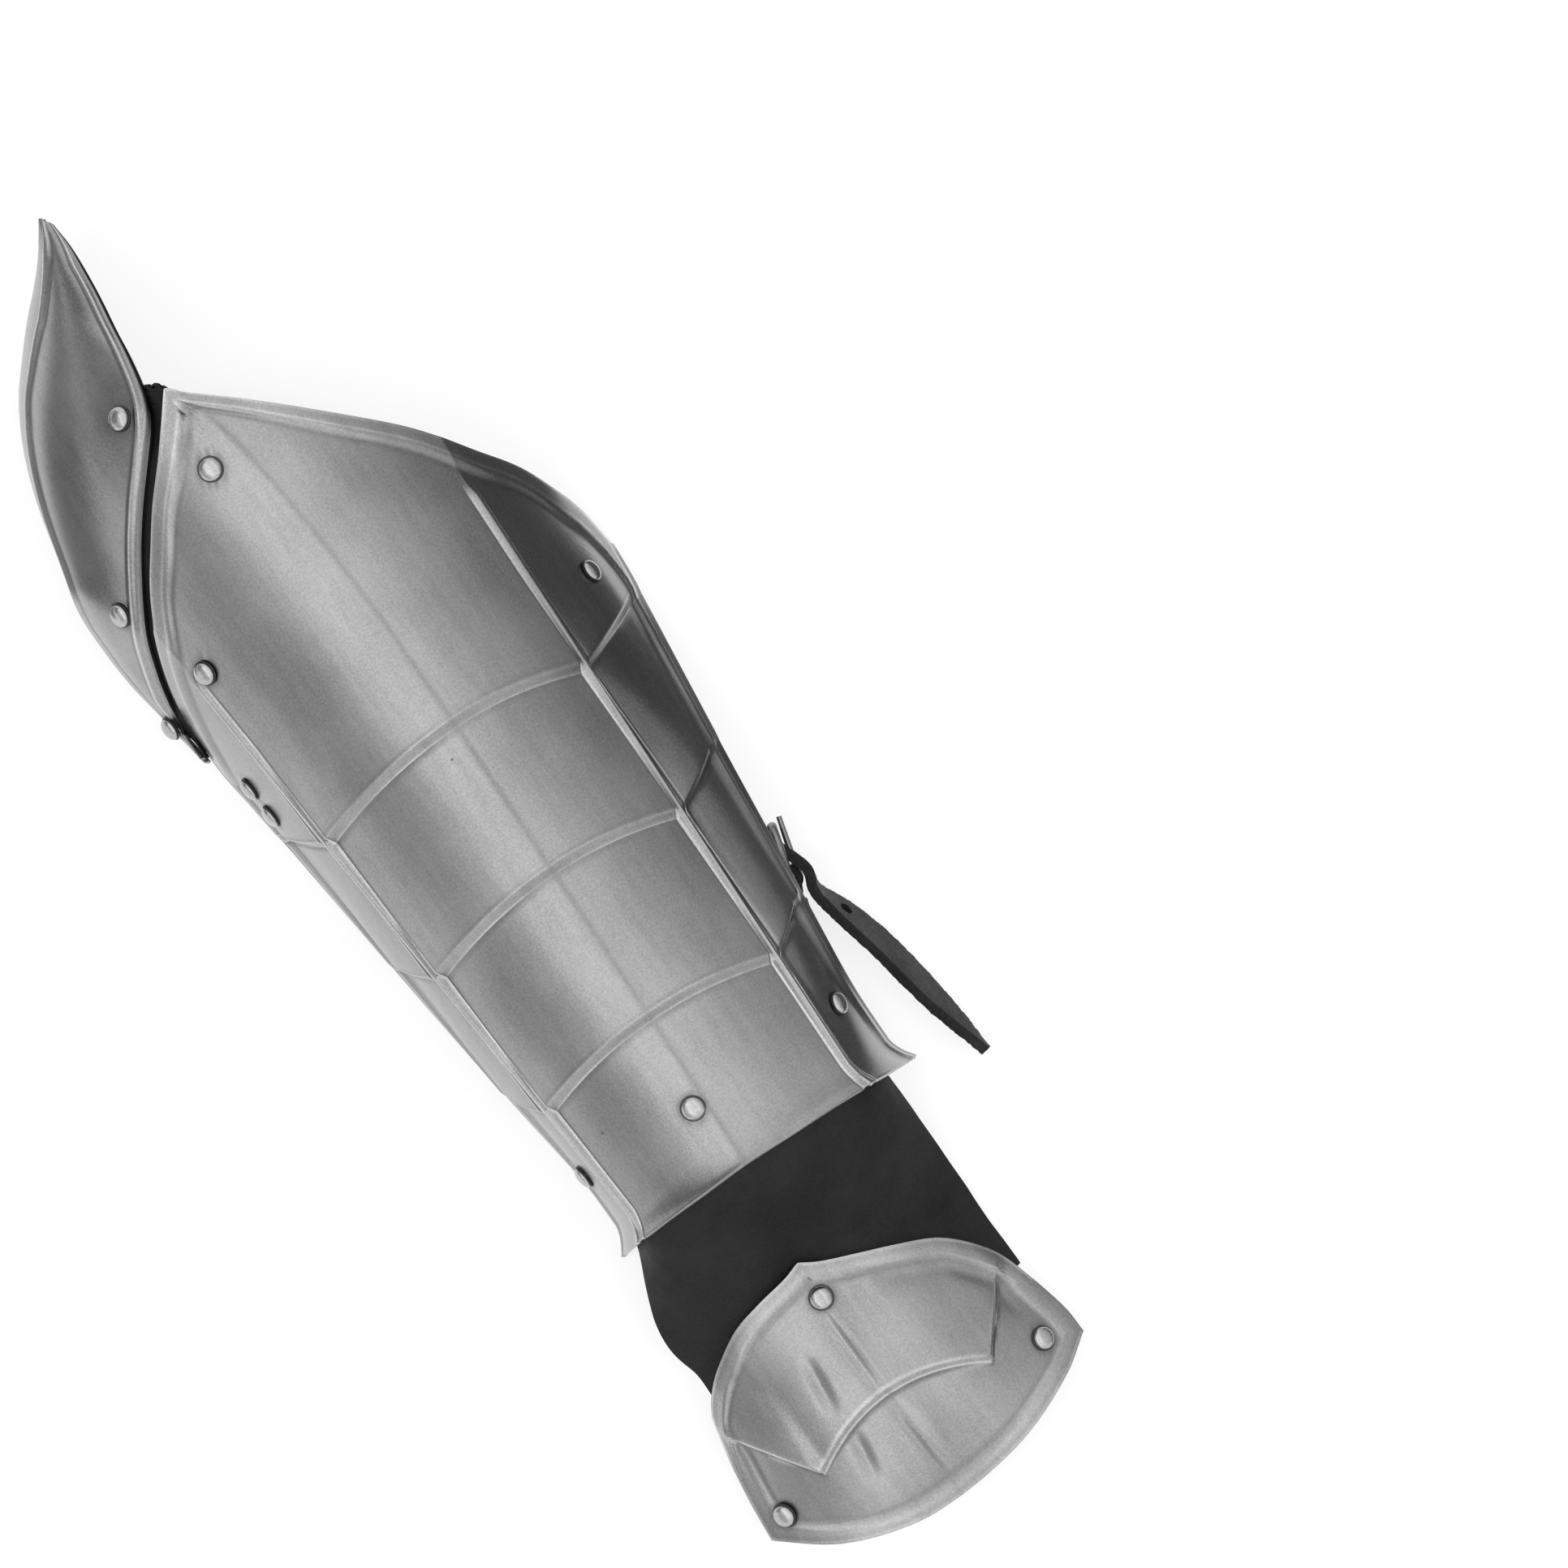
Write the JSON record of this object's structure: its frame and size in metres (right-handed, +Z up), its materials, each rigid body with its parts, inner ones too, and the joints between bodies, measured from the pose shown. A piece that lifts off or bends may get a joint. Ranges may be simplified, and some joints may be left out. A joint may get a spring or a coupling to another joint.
{
  "type": "steel gauntlet",
  "caption": "Plate armour gauntlet: a ridged steel forearm plate with a hinged elbow wing, a hand plate on leather and two buckled straps.",
  "frame": {"origin": "centre of the bounding box in X and Y, at the lowest point, which is where the gauntlet rests with its palm side down", "axes": "+Z up out of the outer face, +Y along the arm from the hand plate towards the elbow, +X to the side where the wrist strap's buckle is"},
  "size_m": [0.1498, 0.4615, 0.0724],
  "materials": {
    "plate_steel": "satin",
    "rivet_steel": "polished",
    "buckle_steel": "satin",
    "black_leather": "matte",
    "strap_leather": "matte"
  },
  "bodies": {
    "forearm": {"forearm_plate": "plate_steel", "forearm_rivets": "rivet_steel", "forearm_washers": "plate_steel", "wrist_leather": "black_leather", "wing_leather": "black_leather", "elbow_strap": "strap_leather", "elbow_tab": "strap_leather", "elbow_tab_rivet": "rivet_steel", "wrist_strap": "strap_leather", "wrist_tab": "strap_leather", "wrist_tab_rivet": "rivet_steel"},
    "wing": {"wing_plate": "plate_steel", "wing_rivets": "rivet_steel", "wing_washers": "plate_steel"},
    "hand": {"hand_plate": "plate_steel", "hand_rivets": "rivet_steel", "hand_washers": "plate_steel", "palm_strap": "strap_leather"},
    "elbow_buckle": {"elbow_frame": "buckle_steel"},
    "elbow_pin": {"elbow_prong": "buckle_steel"},
    "wrist_buckle": {"wrist_frame": "buckle_steel"},
    "wrist_pin": {"wrist_prong": "buckle_steel"}
  },
  "joints": [
    {"name": "wrist_flex", "type": "hinge", "parent": "forearm", "child": "hand", "pos_m": [-0.003, -0.1286, 0.024], "axis": [-1, 0, 0], "range_deg": [-35, 35], "stiffness_Nm_per_rad": 0.4, "deforming": ["wrist_leather"]},
    {"name": "wing_flex", "type": "hinge", "parent": "forearm", "child": "wing", "pos_m": [-0.048, 0.1204, 0.037], "axis": [0.4521, 0.7307, 0.5115], "range_deg": [-4, 6], "stiffness_Nm_per_rad": 3, "deforming": ["wing_leather"]},
    {"name": "wrist_buckle_swing", "type": "hinge", "parent": "forearm", "child": "wrist_buckle", "pos_m": [0.05404, -0.0528, 0.0104], "axis": [0, 0, -1], "range_deg": [0, 8], "stiffness_Nm_per_rad": 0.05, "deforming": ["wrist_strap"]},
    {"name": "wrist_prong_swing", "type": "hinge", "parent": "wrist_buckle", "child": "wrist_pin", "pos_m": [0.05404, -0.0528, 0.0104], "axis": [0, 0, -1], "range_deg": [0, 16], "stiffness_Nm_per_rad": 0.02, "deforming": ["wrist_strap"]},
    {"name": "elbow_buckle_swing", "type": "hinge", "parent": "forearm", "child": "elbow_buckle", "pos_m": [0.041, 0.0534, 0.0083], "axis": [0, -1, 0], "range_deg": [0, 8], "stiffness_Nm_per_rad": 0.05, "deforming": ["elbow_strap"]},
    {"name": "elbow_prong_swing", "type": "hinge", "parent": "elbow_buckle", "child": "elbow_pin", "pos_m": [0.041, 0.0534, 0.0083], "axis": [0, -1, 0], "range_deg": [0, 16], "stiffness_Nm_per_rad": 0.02, "deforming": ["elbow_strap"]}
  ]
}
